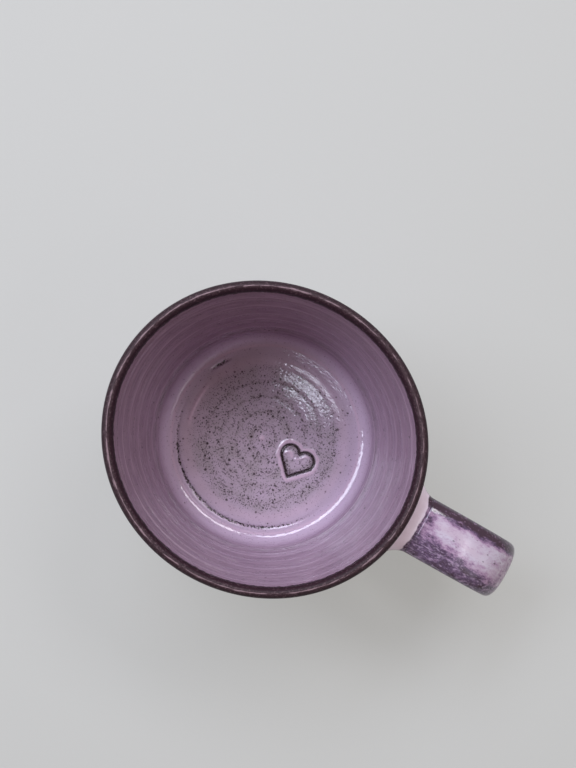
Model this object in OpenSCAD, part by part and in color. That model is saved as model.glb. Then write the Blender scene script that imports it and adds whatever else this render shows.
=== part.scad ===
// Soup mug: a wheel-thrown stoneware pot with a pulled strap handle, and the glaze coats fired onto both.
// The origin is the centre of the foot ring's flat face. +Z runs up the throwing axis and +X to the handle.

/* [Pot] */
// Outer diameter of the clay at the lip
rim_d = 117; // [106:1:128]
// Height of the clay from the table to the lip
pot_h = 83.5; // [76:0.5:96]
// Thickness of the clay at the lip
lip_t = 3.2; // [2.6:0.1:4.2]
// Height of the rounded part of the lip
lip_round_h = 2.2; // [1.6:0.1:2.8]
// How far the wall leans out from where it turns in to the foot up to the lip
wall_lean = 5.5; // [3:0.25:8]
// Height at which the wall turns in to the foot
base_h = 16; // [14:0.5:20]
// Thickness of the wall at its foot
base_t = 7.3; // [5.5:0.1:9]
// Flare of the wall, where 1 is a straight cone
wall_flare = 1.3; // [1:0.05:1.6]

/* [Floor and foot] */
// Thickness of the floor
floor_t = 6; // [4.5:0.1:8]
// Width of the curve between floor and wall
well_w = 6; // [4:0.5:9]
// Height of the curve between floor and wall
well_h = 7; // [5:0.5:10]
// How far the floor rises in the middle
floor_rise = 0.4; // [0:0.1:0.6]
// How far the foot ring is set in from the foot of the wall
foot_inset = 12; // [8:0.5:16]
// Width of the foot ring
foot_w = 6; // [4:0.5:9]
// Height of the foot ring
foot_h = 4; // [3:0.25:5]
// Depth of the hollow inside the foot ring
recess_h = 3.2; // [2:0.1:4]
// Break of the foot ring's edges
foot_edge = 0.8; // [0.4:0.1:1.4]

/* [Throwing rings] */
// Height of one finger ring on the inner wall
ring_pitch = 4.2; // [3:0.1:7]
// Depth of the finger rings on the inner wall
ring_depth = 0.18; // [0.05:0.01:0.4]
// Width of one finger ring on the floor
floor_ring_pitch = 6.3; // [4:0.1:9]
// Depth of the finger rings on the floor
floor_ring_depth = 0.2; // [0.1:0.02:0.3]

/* [Heart stamp] */
// Width of the heart
heart_w = 15; // [12:0.5:18]
// Height of the heart
heart_h = 14; // [11:0.5:17]
// Radius of the heart's two lobes
heart_lobe_r = 3.8; // [3.2:0.1:4.4]
// Width of the stamped line, which is half as deep
heart_line = 1.5; // [1:0.1:2]
// Place of the heart towards the handle
heart_x = 16; // [10:0.5:18]
// Place of the heart across the handle
heart_y = -2.9; // [-6:0.1:6]

/* [Handle] */
// How far the strap stands out from the lip
handle_out = 49; // [42:0.5:54]
// Width of the strap
strap_w = 22; // [18:0.5:26]
// Thickness of the strap
strap_t = 8; // [6.5:0.25:10]
// Width of the strap where it meets the wall
root_w = 22; // [18:0.5:26]
// Thickness of the strap where it meets the wall
root_t = 10.5; // [8:0.25:12]
// Rise of the strap's line as it leaves the wall
handle_rise = 2; // [0:0.5:4]
// How far the joint coils spread over the wall above and below the strap
coil_h = 6; // [4:0.5:7]
// How far the joint coils spread over the wall on each side of the strap
coil_w = 12; // [8:0.5:14]
// How far the joint coils run along the strap
coil_run = 10; // [7:0.5:12]
// Squareness of the strap's section, where 2 is an ellipse
strap_square = 2.6; // [2:0.1:3.4]

/* [Glaze] */
// Thickness of the fired glaze
glaze_t = 0.5; // [0.3:0.05:0.8]
// How far the rim band comes down inside
rim_in = 2.6; // [1.8:0.1:5]
// How far the rim band comes down outside
rim_out = 4; // [2.8:0.1:6]
// Height at which the outer glaze stops above the table
glaze_stop = 9; // [7:0.5:12]
// Outer glaze between the rim band and the upper joint
upper_gap = 0.6; // [0.3:0.1:2]
// Outer glaze between the lower joint and where the glaze stops
lower_gap = 4; // [2:0.5:8]

/* [Hidden] */
$fn = 128;
// Gap that the slip fills between the handle and the wall
seat_gap = 0.05;

// Counts of steps along each curve
curve_steps = 10;
wall_steps = 14;
lip_steps = 12;
ring_steps = 6;
lobe_steps = 24;
cleft_steps = 5;
strap_sides = 48;
strap_steps = 11;
root_steps = 4;
fillet_steps = 6;
seat_steps = 3;

// Shares that shape the handle's line: how far each end runs out before it turns
top_run_share = 0.72;
shoulder_share = 0.8;
heel_share = 0.62;
low_run_share = 0.5;
// Share of the handle's height at which it stands out furthest
belly_share = 0.56;
// Share by which a joint's hollow keeps to its corner, where 1 is a parabola
hollow_share = 0.55;
// Shares of a root at which its seat on the wall has a ring of points
seat_shares = [0.3, 0.65];

// Radii and heights of the pot
rim_r = rim_d / 2;
base_r = rim_r - wall_lean;
foot_r = base_r - foot_inset;
foot_in_r = foot_r - foot_w;
lip_z = pot_h - lip_round_h;
lip_mid_r = rim_r - lip_t / 2;
floor_z = recess_h + floor_t;
well_r = base_r - base_t;
floor_r = well_r - well_w;
well_z = floor_z + well_h;
stop_angle = acos((base_h - glaze_stop) / (base_h - foot_h));

// The handle's two roots and the point where it stands out furthest
handle_reach = rim_r + handle_out;
coil_size = [coil_w, coil_h];
upper_z = pot_h - rim_out - upper_gap - coil_h - root_t / 2;
lower_z = glaze_stop + lower_gap + coil_h + root_t / 2;
belly_z = lower_z + belly_share * (upper_z - lower_z);
upper_root = [outer_r(upper_z), upper_z];
lower_root = [outer_r(lower_z), lower_z];
belly = [handle_reach - strap_t / 2, belly_z];
upper_line = [
    upper_root,
    upper_root + [top_run_share * (belly.x - upper_root.x), handle_rise],
    belly + [0, shoulder_share * (upper_z - belly_z)],
    belly
];
lower_line = [
    belly,
    belly - [0, heel_share * (belly_z - lower_z)],
    lower_root + [low_run_share * (belly.x - lower_root.x), -handle_rise],
    lower_root
];

// Stations along the strap: 0 to 1 is the upper line and 1 to 2 the lower, with the joints' own at each end
upper_joint_u = coil_run / (3 * norm(upper_line[1] - upper_line[0]));
lower_joint_u = coil_run / (3 * norm(lower_line[3] - lower_line[2]));
upper_root_us = [for (i = [0 : root_steps]) upper_joint_u * i / root_steps];
lower_root_us = [for (i = [0 : root_steps]) 2 - lower_joint_u * i / root_steps];
mid_us = concat(
    [for (i = [0 : strap_steps]) upper_joint_u + (1 - upper_joint_u) * i / strap_steps],
    [for (i = [1 : strap_steps]) 1 + (1 - lower_joint_u) * i / strap_steps]
);

// Pot outline, as [radius, height]

function outer_r(z) = z < base_h
    ? foot_r + (base_r - foot_r) * sqrt(1 - pow((base_h - z) / (base_h - foot_h), 2))
    : base_r + (rim_r - base_r) * pow((z - base_h) / (lip_z - base_h), wall_flare);

function inner_r(z) = well_r + (rim_r - lip_t - well_r) * (z - well_z) / (lip_z - well_z);

function base_point(angle) = [
    foot_r + (base_r - foot_r) * sin(angle),
    base_h - (base_h - foot_h) * cos(angle)
];

function lip_point(angle) = [lip_mid_r + lip_t / 2 * cos(angle), lip_z + lip_round_h * sin(angle)];

// A wave that starts and ends at 0 and dips once in each pitch
function dip(along, whole, pitch) = (1 - cos(360 * round(whole / pitch) * along / whole)) / 2;

function wall_in_point(z) = [inner_r(z) - ring_depth * dip(lip_z - z, lip_z - well_z, ring_pitch), z];

function floor_top(r) = floor_z + floor_rise * (1 - pow(r / floor_r, 2))
    - floor_ring_depth * dip(floor_r - r, floor_r, floor_ring_pitch);

function span(from, to, steps) = [for (i = [0 : steps]) from + (to - from) * i / steps];

bare_points = [for (a = span(0, stop_angle, curve_steps)) base_point(a)];

outer_points = concat(
    [for (a = span(stop_angle, 90, curve_steps)) base_point(a)],
    [for (z = span(base_h, pot_h - rim_out, wall_steps)) if (z > base_h) [outer_r(z), z]]
);

rim_in_z = pot_h - rim_in;
rim_points = concat(
    [[outer_r(pot_h - rim_out), pot_h - rim_out]],
    [for (a = span(0, 180, lip_steps)) lip_point(a)],
    [wall_in_point(rim_in_z)]
);

wall_rings = round((lip_z - well_z) / ring_pitch);
floor_rings = round(floor_r / floor_ring_pitch);
liner_points = concat(
    [for (z = span(rim_in_z, well_z, wall_rings * ring_steps)) wall_in_point(z)],
    [for (a = span(90, 0, curve_steps)) if (a < 90)
        [floor_r + well_w * sin(a), well_z - well_h * cos(a)]],
    [for (r = span(floor_r, 0, floor_rings * ring_steps)) if (r < floor_r) [r, floor_top(r)]]
);

// The clay's face from the foot over the lip to the middle of the floor
function rest(list) = [for (i = [1 : len(list) - 1]) list[i]];
face = concat(bare_points, rest(outer_points), rest(rim_points), rest(liner_points));
stop_i = len(bare_points) - 1;
rim_out_i = stop_i + len(outer_points) - 1;
rim_in_i = rim_out_i + len(rim_points) - 1;
middle_i = len(face) - 1;

// The same face moved out by the glaze's thickness
function square_to(v) = [v.y, -v.x] / norm(v);
glazed = [for (i = [0 : middle_i])
    face[i] + glaze_t * (i == middle_i ? [0, 1] : square_to(face[i + 1] - face[max(0, i - 1)]))];

function coat_outline(first, last) = concat(
    [for (i = [first : last]) face[i]],
    [for (i = [last : -1 : first]) glazed[i]]
);

underside = [
    [0, recess_h],
    [foot_in_r - recess_h, recess_h],
    [foot_in_r, foot_edge],
    [foot_in_r + foot_edge, 0],
    [foot_r - foot_edge, 0],
    [foot_r, foot_edge]
];

// Heart: two round lobes and the tangents that run from them to the tip, as one line
heart_lobe_x = heart_w / 2 - heart_lobe_r;
heart_tip = [0, heart_lobe_r - heart_h];
heart_half_tip = atan2(heart_lobe_x, -heart_tip.y)
    + asin(heart_lobe_r / norm([heart_lobe_x, heart_tip.y]));
heart_cleft = acos(-heart_lobe_x / heart_lobe_r);
heart_r = norm([heart_x, heart_y]);
heart_z = floor_top(heart_r) + glaze_t;
heart_low = heart_z - heart_line / 2;
heart_high = heart_z + heart_line;
// The lining of the heart's line meets the coat halfway from the highest clay to the lowest glaze there
heart_far = heart_r + heart_w / 2;
high_clay = floor_z + floor_rise;
low_glaze = floor_z + floor_rise * (1 - pow(heart_far / floor_r, 2)) - floor_ring_depth + glaze_t;
lining_z = (high_clay + low_glaze) / 2;

// Outline of the heart moved out by a distance, or in, where it goes round the foot of the cleft
heart_cleft_y = heart_lobe_r * sin(heart_cleft);
function heart_outline(out) = let (
        r = heart_lobe_r + out,
        from = out < 0 ? heart_cleft : acos(-heart_lobe_x / r),
        half = concat(
            [for (a = span(-90, heart_cleft - 180, cleft_steps)) if (out < 0)
                [0, heart_cleft_y] - out * [cos(a), sin(a)]],
            [for (a = span(from, -heart_half_tip, lobe_steps)) if (out > 0 || a < from)
                [heart_lobe_x, 0] + r * [cos(a), sin(a)]]
        ),
        tip = [0, -(r + heart_lobe_x * cos(heart_half_tip)) / sin(heart_half_tip)]
    ) concat(half, [tip], [for (i = [len(half) - 1 : -1 : 1]) [-half[i].x, half[i].y]]);

module heart_groove(out, low, high) {
    translate([heart_x, heart_y - (heart_lobe_r + heart_tip.y) / 2, low]) linear_extrude(high - low)
        difference() {
            polygon(heart_outline(out));
            polygon(heart_outline(-out));
        }
}

// Handle

function bezier(p, t) = pow(1 - t, 3) * p[0] + 3 * pow(1 - t, 2) * t * p[1]
    + 3 * (1 - t) * pow(t, 2) * p[2] + pow(t, 3) * p[3];
function bezier_way(p, t) = pow(1 - t, 2) * (p[1] - p[0]) + 2 * (1 - t) * t * (p[2] - p[1])
    + pow(t, 2) * (p[3] - p[2]);
function strap_line(u) = u < 1 ? bezier(upper_line, u) : bezier(lower_line, u - 1);
function strap_way(u) = u < 1 ? bezier_way(upper_line, u) : bezier_way(lower_line, u - 1);

// 1 at either root, 0 at the belly
function root_share(u) = pow(abs(1 - u), 3);
function strap_half(u) = [
    strap_w + (root_w - strap_w) * root_share(u),
    strap_t + (root_t - strap_t) * root_share(u)
] / 2;

// One of the strap's sides as a point on a squarish unit oval
function rounded(x) = sign(x) * pow(abs(x), 2 / strap_square);
function oval(k) = [rounded(cos(360 * k / strap_sides)), rounded(sin(360 * k / strap_sides))];
function sides() = [for (k = [0 : strap_sides - 1]) k];

// A point on the wall, lifted off the clay
function on_wall(yz, lift) = [sqrt(pow(outer_r(yz[1]) + lift, 2) - pow(yz[0], 2)), yz[0], yz[1]];

// Root of the strap laid on the wall, at a share of its size or grown sideways and up and down.
// The strap's outer face looks up at the upper root and down at the lower.
function root_yz(u, k, share, grow) = let (size = strap_half(u) * share + grow, o = oval(k), up = 1 - u)
    [o.x * size.x, strap_line(u).y + up * o.y * size.y];

function strap_point(u, k, grow) = let (
        half = strap_half(u) + [grow, grow],
        out = square_to(-strap_way(u)),
        flat = strap_line(u) + out * half.y * oval(k).y
    ) [flat.x, half.x * oval(k).x, flat.y];

// A point on the bare strap, whose two ends lie on the wall
function bare_point(u, k) = u == 0 || u == 2
    ? on_wall(root_yz(u, k, 1, [0, 0]), seat_gap)
    : strap_point(u, k, 0);
function strap_ring(u) = [for (k = sides()) bare_point(u, k)];

// Faces between rings of points that follow one another
function tube_faces(rings, sides_n) = [for (i = [0 : rings - 2], k = [0 : sides_n - 1], half = [0, 1])
    let (a = i * sides_n + k, b = i * sides_n + (k + 1) % sides_n, c = b + sides_n, d = a + sides_n)
    half == 0 ? [a, c, b] : [a, d, c]];

// The same for a ring whose own section closes: rings wrap round to the first
function loop_faces(rings, loop) = [for (i = [0 : rings - 1], k = [0 : loop - 1], half = [0, 1])
    let (
        next = (i + 1) % rings,
        a = i * loop + k, b = i * loop + (k + 1) % loop,
        c = next * loop + (k + 1) % loop, d = next * loop + k
    ) half == 0 ? [a, b, c] : [a, c, d]];

module strap_handle() {
    rings = concat(
        [for (s = seat_shares) [for (k = sides()) on_wall(root_yz(0, k, s, [0, 0]), seat_gap)]],
        [for (u = upper_root_us) strap_ring(u)],
        [for (i = [1 : len(mid_us) - 2]) strap_ring(mid_us[i])],
        [for (i = [root_steps : -1 : 0]) strap_ring(lower_root_us[i])],
        [for (i = [len(seat_shares) - 1 : -1 : 0])
            [for (k = sides()) on_wall(root_yz(2, k, seat_shares[i], [0, 0]), seat_gap)]]
    );
    n = len(rings);
    first = n * strap_sides;
    ends = [on_wall([0, upper_z], seat_gap), on_wall([0, lower_z], seat_gap)];
    color("#8d7f90") polyhedron(
        points = concat([for (ring = rings, p = ring) p], ends),
        faces = concat(
            tube_faces(n, strap_sides),
            [for (k = sides()) [first, k, (k + 1) % strap_sides]],
            [for (k = sides()) [first + 1, first - strap_sides + (k + 1) % strap_sides,
                first - strap_sides + k]]
        ));
}

// Hollow curve of a joint, from the wall past its corner to the strap
function hollow(low, corner, high, t) = let (
        shares = [pow(1 - t, 2), 2 * hollow_share * t * (1 - t), pow(t, 2)]
    ) (shares[0] * low + shares[1] * corner + shares[2] * high) / (shares[0] + shares[1] + shares[2]);

// Clay coil round one root, worked into a fillet between wall and strap
module joint_coil(root_u, us) {
    last = us[root_steps];
    way = 1 - root_u;
    loops = [for (side = sides()) let (
            k = way * side,
            foot = root_yz(root_u, k, 1, coil_size),
            low = on_wall(foot, glaze_t),
            corner = on_wall(root_yz(root_u, k, 1, [glaze_t, glaze_t]), glaze_t),
            high = strap_point(last, k, glaze_t)
        ) concat(
            [on_wall(foot, seat_gap)],
            [for (t = span(0, 1, fillet_steps)) hollow(low, corner, high, t)],
            [for (i = [root_steps : -1 : 0]) bare_point(us[i], k)],
            [for (s = span(0, 1, seat_steps)) if (s > 0 && s < 1)
                on_wall(root_yz(root_u, k, 1, coil_size * s), seat_gap)]
        )];
    polyhedron(
        points = [for (loop = loops, p = loop) p],
        faces = loop_faces(strap_sides, len(loops[0])));
}

module upper_joint_coil() {
    color("#c9aebd") joint_coil(0, upper_root_us);
}

module lower_joint_coil() {
    color("#c9aebd") joint_coil(2, lower_root_us);
}

module handle_glaze() {
    last = len(mid_us) - 1;
    loops = [for (k = sides()) concat(
        [for (i = [0 : last]) strap_point(mid_us[i], k, glaze_t)],
        [for (i = [last : -1 : 0]) strap_point(mid_us[i], k, 0)]
    )];
    color("#9c86a6") polyhedron(
        points = [for (loop = loops, p = loop) p],
        faces = loop_faces(strap_sides, len(loops[0])));
}

module thrown_body() {
    color("#8a6f5c") difference() {
        rotate_extrude() polygon(concat(underside, face));
        heart_groove(heart_line / 2 + glaze_t, heart_low - glaze_t, heart_high);
    }
}

module liner_glaze() {
    color("#8f7089") difference() {
        union() {
            rotate_extrude() polygon(coat_outline(rim_in_i, middle_i));
            heart_groove(heart_line / 2 + glaze_t, heart_low - glaze_t, lining_z);
        }
        heart_groove(heart_line / 2, heart_low, heart_high);
    }
}

module rim_glaze() {
    color("#4a3a40") rotate_extrude() polygon(coat_outline(rim_out_i, rim_in_i));
}

// Prism through the wall where one joint coil sits
module joint_window(root_u) {
    rotate([90, 0, 90]) linear_extrude(handle_reach)
        polygon([for (k = sides()) root_yz(root_u, k, 1, coil_size)]);
}

module outer_glaze() {
    color("#a993b0") difference() {
        rotate_extrude() polygon(coat_outline(stop_i, rim_out_i));
        joint_window(0);
        joint_window(2);
    }
}

thrown_body();
strap_handle();
upper_joint_coil();
lower_joint_coil();
liner_glaze();
rim_glaze();
outer_glaze();
handle_glaze();
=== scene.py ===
# %% [markdown]
# # A wheel-thrown soup mug
# The mug is a stoneware pot thrown on a wheel, with a strap handle pulled by hand and luted on, and a
# glaze coat fired over everything but the foot. The CAD solids hold the sizes. Here each coat is built
# again as a finer mesh, with the marks that a potter's hands leave, and gets its own glaze.
# The mug stands on its foot: +Z is the throwing axis and +X points to the handle.

# %% Load the solids
import math

import bmesh
import bpy
import numpy as np
from mathutils import Matrix, Vector


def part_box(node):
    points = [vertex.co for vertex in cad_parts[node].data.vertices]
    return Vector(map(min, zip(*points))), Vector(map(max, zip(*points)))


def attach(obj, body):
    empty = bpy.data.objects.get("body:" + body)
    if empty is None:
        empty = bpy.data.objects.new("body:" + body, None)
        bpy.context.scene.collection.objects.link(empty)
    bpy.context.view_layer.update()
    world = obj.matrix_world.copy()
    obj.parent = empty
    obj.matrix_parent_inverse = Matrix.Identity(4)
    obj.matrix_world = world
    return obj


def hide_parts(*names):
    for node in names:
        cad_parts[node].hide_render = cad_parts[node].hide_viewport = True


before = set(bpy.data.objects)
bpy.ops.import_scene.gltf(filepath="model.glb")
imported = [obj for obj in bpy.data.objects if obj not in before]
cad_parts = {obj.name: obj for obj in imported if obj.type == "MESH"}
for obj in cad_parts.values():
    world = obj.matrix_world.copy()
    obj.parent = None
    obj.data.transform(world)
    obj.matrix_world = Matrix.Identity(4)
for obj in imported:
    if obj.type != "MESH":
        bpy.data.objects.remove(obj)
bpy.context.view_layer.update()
print("solids:", ", ".join(sorted(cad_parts)))

# %% [markdown]
# ## Sizes
# A pot is drawn as a half outline that spins round the axis. The large sizes come from the solids' own
# boxes, and the rest are the potter's measures: how far the wall leans out, how thick it is, how the
# floor turns up into it. All are in millimetres, and only the finished meshes turn into metres.

# %% Measures of the pot, in millimetres
MM = 0.001


def box_mm(node):
    """Lowest and highest corner of a solid, in millimetres."""
    low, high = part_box(node)
    return np.array(low) / MM, np.array(high) / MM


rim_high = box_mm("rim_glaze")[1]
POT_H = box_mm("thrown_body")[1][2]
GLAZE = rim_high[2] - POT_H
RIM_R = rim_high[1] - GLAZE
LIP_T = 3.2
LIP_ROUND = 2.2
WALL_LEAN = 5.5
WALL_FLARE = 1.3
BASE_H = 16
BASE_T = 7.3
FLOOR_T = 6
FLOOR_RISE = 0.4
WELL_W = 6
WELL_H = 7
FOOT_INSET = 12
FOOT_W = 6
FOOT_H = 4
FOOT_EDGE = 0.8
RECESS = 3.2
RIM_IN = 2.6
RIM_OUT = 4
GLAZE_STOP = 9

LIP_Z = POT_H - LIP_ROUND
BASE_R = RIM_R - WALL_LEAN
FOOT_R = BASE_R - FOOT_INSET
FLOOR_Z = RECESS + FLOOR_T
WELL_R = BASE_R - BASE_T
FLOOR_R = WELL_R - WELL_W
WELL_Z = FLOOR_Z + WELL_H
print(f"rim {2 * (RIM_R + GLAZE):.1f} mm across, {POT_H + GLAZE:.1f} mm high, glaze {GLAZE:.2f} mm")

# %% [markdown]
# ## The pot's outline
# The clay's face runs from the foot up the outside, over the lip and down to the middle of the floor.
# It is kept as stretches, because each glaze coat covers one of them. A coat is the same stretch moved
# out along its own normals, which is what dipping a pot in glaze does.


# %% Outline of the clay
def outer_r(z):
    turn = np.sqrt(np.clip(1 - ((BASE_H - z) / (BASE_H - FOOT_H)) ** 2, 0, 1))
    lean = np.clip((z - BASE_H) / (LIP_Z - BASE_H), 0, None) ** WALL_FLARE
    return np.where(z < BASE_H, FOOT_R + FOOT_INSET * turn, BASE_R + WALL_LEAN * lean)


def inner_r(z):
    return WELL_R + (RIM_R - LIP_T - WELL_R) * (z - WELL_Z) / (LIP_Z - WELL_Z)


def steps(start, end, size):
    return np.linspace(start, end, max(2, round(abs(end - start) / size) + 1))


def turned_base(start, end, size):
    a = np.radians(steps(start, end, size))
    return np.column_stack([FOOT_R + FOOT_INSET * np.sin(a), BASE_H - (BASE_H - FOOT_H) * np.cos(a)])


def outer_wall(low, high, size):
    z = steps(low, high, size)
    return np.column_stack([outer_r(z), z])


def lip(size):
    a = np.radians(steps(0, 180, size))
    middle = RIM_R - LIP_T / 2
    return np.column_stack([middle + LIP_T / 2 * np.cos(a), LIP_Z + LIP_ROUND * np.sin(a)])


def inner_wall(high, low, size):
    z = steps(high, low, size)
    return np.column_stack([inner_r(z), z])


def well(size):
    a = np.radians(steps(90, 0, size))
    return np.column_stack([FLOOR_R + WELL_W * np.sin(a), WELL_Z - WELL_H * np.cos(a)])


def floor(middle, size):
    r = steps(FLOOR_R, middle, size)
    return np.column_stack([r, FLOOR_Z + FLOOR_RISE * (1 - (r / FLOOR_R) ** 2)])


def foot_ring():
    inside = FOOT_R - FOOT_W
    return np.array([
        [inside - RECESS, RECESS], [inside, FOOT_EDGE], [inside + FOOT_EDGE, 0],
        [FOOT_R - FOOT_EDGE, 0], [FOOT_R, FOOT_EDGE],
    ])


STOP_ANGLE = math.degrees(math.acos((BASE_H - GLAZE_STOP) / (BASE_H - FOOT_H)))


def join(*stretches):
    """Stretches that follow one another, without the points that they share."""
    points = np.concatenate(stretches)
    apart = np.linalg.norm(np.diff(points, axis=0), axis=1) > 1e-6
    return points[np.append(True, apart)]


def normals(outline):
    along = np.gradient(outline, axis=0)
    across = np.column_stack([along[:, 1], -along[:, 0]])
    return across / np.linalg.norm(across, axis=1)[:, None]


print(f"outline from a {2 * FOOT_R:.0f} mm foot to a {2 * FLOOR_R:.0f} mm floor")

# %% [markdown]
# ## Hand-made, not machined
# Luting a handle on pulls the soft rim towards it, so this rim is a slight oval, longer in the handle's
# direction, while the foot and the floor stay round. One function gives every piece of the pot that
# shape, so that the coats keep to the clay.

# %% The pull of the handle on the pot
RIM_OVAL_SHARE = 0.028


def pull_share(z):
    s = np.clip((z - FOOT_H) / (POT_H - FOOT_H), 0, 1)
    return RIM_OVAL_SHARE * s * s * (3 - 2 * s)


def pulled(points):
    """Points of the round pot, in millimetres, as they lie on the oval one."""
    x, y, z = points.T
    twice = 2 * np.arctan2(y, x)
    swell = 1 + pull_share(z) * np.cos(twice)
    return np.column_stack([x * swell, y * swell, z])


print(f"rim {2 * RIM_OVAL_SHARE * 100:.1f} % longer than wide")

# %% [markdown]
# ### Spinning an outline
# A wheel turns one outline into a whole pot. Here each point of it becomes a row of points round the axis,
# and faces join each row to the next.


# %% Spinning an outline
def to_round(angles, outline):
    """Spins an outline: one row of points for each point of it."""
    r = outline[:, :1] * np.ones_like(angles)
    z = outline[:, 1:] * np.ones_like(angles)
    return np.stack([r * np.cos(angles), r * np.sin(angles), z], axis=-1)


def ring_faces(rings, turns, closed):
    """Faces between rows of points that each go once round."""
    i = np.arange(rings if closed else rings - 1)[:, None]
    k = np.arange(turns)[None, :]
    after = (i + 1) % rings
    beside = (k + 1) % turns
    quads = np.stack([
        np.broadcast_to(a, (len(i), turns))
        for a in (i * turns + k, i * turns + beside, after * turns + beside, after * turns + k)
    ], axis=-1)
    return quads.reshape(-1, 4).tolist()


# %% [markdown]
# ## Making a piece
# Every piece is made the same way: points and faces become a mesh, the mesh rides on the one body that
# a mug is, and the piece takes the place of its solid.


# %% From points to a piece
def make_mesh(name, points, faces):
    mesh = bpy.data.meshes.new(name)
    mesh.from_pydata((points * MM).tolist(), [], faces)
    mesh.validate()
    return mesh


def keep_value(mesh, name, values):
    """Keeps one number for each point on the mesh, for a material to read."""
    mesh.attributes.new(name, "FLOAT", "POINT").data.foreach_set("value", values)


def new_object(name, data):
    thing = bpy.data.objects.new(name, data)
    bpy.context.scene.collection.objects.link(thing)
    return thing


def make_piece(name, mesh, material, slot, *nodes):
    mesh.shade_smooth()
    mesh.materials.append(material)
    piece = new_object(name, mesh)
    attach(piece, "root")
    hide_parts(*nodes)
    print(f"{name}: {len(mesh.vertices)} points, {len(mesh.polygons)} faces")


# %% [markdown]
# ## Glazes
# A glaze is glass: an index of refraction near 1.6 and a smooth, wavy skin. What makes this one look
# hand-made is what floats in it: iron specks from the clay, streaks where the potter's fingers left
# rings, and darker breaks at the edges where it runs thin. All of these are drawn from the mug's own
# coordinates, so that they stay put from every side. A colour is built up in layers, one over another,
# each laid on where some value passes from a start to an end.

# %% Colour and node helpers
GLASS_IOR = 1.6


def linear(hex_colour):
    """An sRGB hex value such as "9c7b96" as linear red, green, blue and alpha."""
    parts = [int(hex_colour[i:i + 2], 16) / 255 for i in (0, 2, 4)]
    return tuple(c / 12.92 if c <= 0.04045 else ((c + 0.055) / 1.055) ** 2.4 for c in parts) + (1.0,)


def per_mm(size):
    """Texture scale for a feature of that size in millimetres."""
    return 1 / (size * MM)


def add(tree, kind, inputs=None, **settings):
    """Adds a node with its settings. An input takes a value, a socket or a node, for its first output."""
    node = tree.nodes.new(kind)
    for name, value in settings.items():
        setattr(node, name, value)
    for key, value in (inputs or {}).items():
        named = [s for s in node.inputs if s.enabled and s.name == key]
        socket = named[0] if named else node.inputs[key]
        if isinstance(value, bpy.types.Node):
            value = next(s for s in value.outputs if s.enabled)
        if isinstance(value, bpy.types.NodeSocket):
            tree.links.new(value, socket)
        else:
            socket.default_value = value
    return node


def layer(tree, under, over, value, start, end, most=1.0):
    """Lays the colour over on the colour under, from none at start to most at end."""
    share = add(tree, "ShaderNodeMapRange", {
        "Value": value, "From Min": start, "From Max": end, "To Max": most,
    })
    ends = [linear(c) if isinstance(c, str) else c for c in (under, over)]
    return add(tree, "ShaderNodeMix", {"Factor": share, "A": ends[0], "B": ends[1]}, data_type="RGBA")


def empty_tree(owner):
    """The node tree of a new material or world, cleared."""
    owner.use_nodes = True
    owner.node_tree.nodes.clear()
    return owner.node_tree


def new_material(name):
    material = bpy.data.materials.new(name)
    return material, empty_tree(material)


def finish_material(tree, colour, rough, skin, deep_mm, shine=0.5, strength=1.0):
    """Ends a material in a shader with a skin of that depth. A shine under 0.5 is a dry surface."""
    bump = add(tree, "ShaderNodeBump", {"Height": skin, "Strength": strength, "Distance": deep_mm * MM})
    shader = add(tree, "ShaderNodeBsdfPrincipled", {
        "Base Color": colour, "Roughness": rough, "Normal": bump, "IOR": GLASS_IOR,
        "Specular IOR Level": shine,
    })
    add(tree, "ShaderNodeOutputMaterial", {"Surface": shader.outputs["BSDF"]})
    print(f"{len(tree.nodes)} nodes, roughness {rough}")


print("mauve", [round(c, 3) for c in linear("9c7b96")])

# %% [markdown]
# ### Patterns
# A few patterns serve all the glazes: coordinates round the throwing axis, streaks that run round it,
# rings and bands, and specks. A speck is the middle of a Voronoi cell, and each cell has a size of its
# own, so that a few are large, most are small and some cells have none.


# %% Patterns
def around_axis(tree):
    """The mug's own coordinates: place, distance from the axis, height and direction round the axis."""
    place = add(tree, "ShaderNodeTexCoord").outputs["Object"]
    flat = add(tree, "ShaderNodeVectorMath", {0: place, 1: (1, 1, 0)}, operation="MULTIPLY")
    reach = add(tree, "ShaderNodeVectorMath", {0: flat}, operation="LENGTH")
    way = add(tree, "ShaderNodeVectorMath", {0: flat}, operation="NORMALIZE")
    height = add(tree, "ShaderNodeSeparateXYZ", {0: place}).outputs["Z"]
    return place, reach.outputs["Value"], height, way


def streaks(tree, reach, height, way, pitch_mm, around):
    """A noise that changes fast along the pot's outline and slowly round its axis."""
    along = add(tree, "ShaderNodeMath", {0: height, 1: reach}, operation="SUBTRACT")
    rise = add(tree, "ShaderNodeMath", {0: along, 1: per_mm(pitch_mm)}, operation="MULTIPLY")
    up = add(tree, "ShaderNodeCombineXYZ", {"Z": rise})
    place = add(tree, "ShaderNodeVectorMath", {
        0: way, 1: (around, around, 0), 2: up,
    }, operation="MULTIPLY_ADD")
    return add(tree, "ShaderNodeTexNoise", {
        "Vector": place, "Scale": 1.0, "Detail": 5.0, "Roughness": 0.65,
    })


def off_by(tree, value, at):
    """How far a value is from another one, either way."""
    off = add(tree, "ShaderNodeMath", {0: value, 1: at}, operation="SUBTRACT")
    return add(tree, "ShaderNodeMath", {0: off}, operation="ABSOLUTE")


def specks(tree, place, spacing_mm, largest, density=1.0):
    """More than 0 in a speck. density makes them larger and more, up to 1."""
    cells = add(tree, "ShaderNodeTexVoronoi", {"Vector": place, "Scale": per_mm(spacing_mm)})
    size = add(tree, "ShaderNodeMapRange", {
        "Value": cells.outputs["Color"], "From Min": 0.3, "From Max": 1.0, "To Max": largest,
    })
    dense = add(tree, "ShaderNodeMath", {0: size, 1: density}, operation="MULTIPLY")
    return add(tree, "ShaderNodeMath", {0: dense, 1: cells.outputs["Distance"]}, operation="SUBTRACT")


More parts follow.
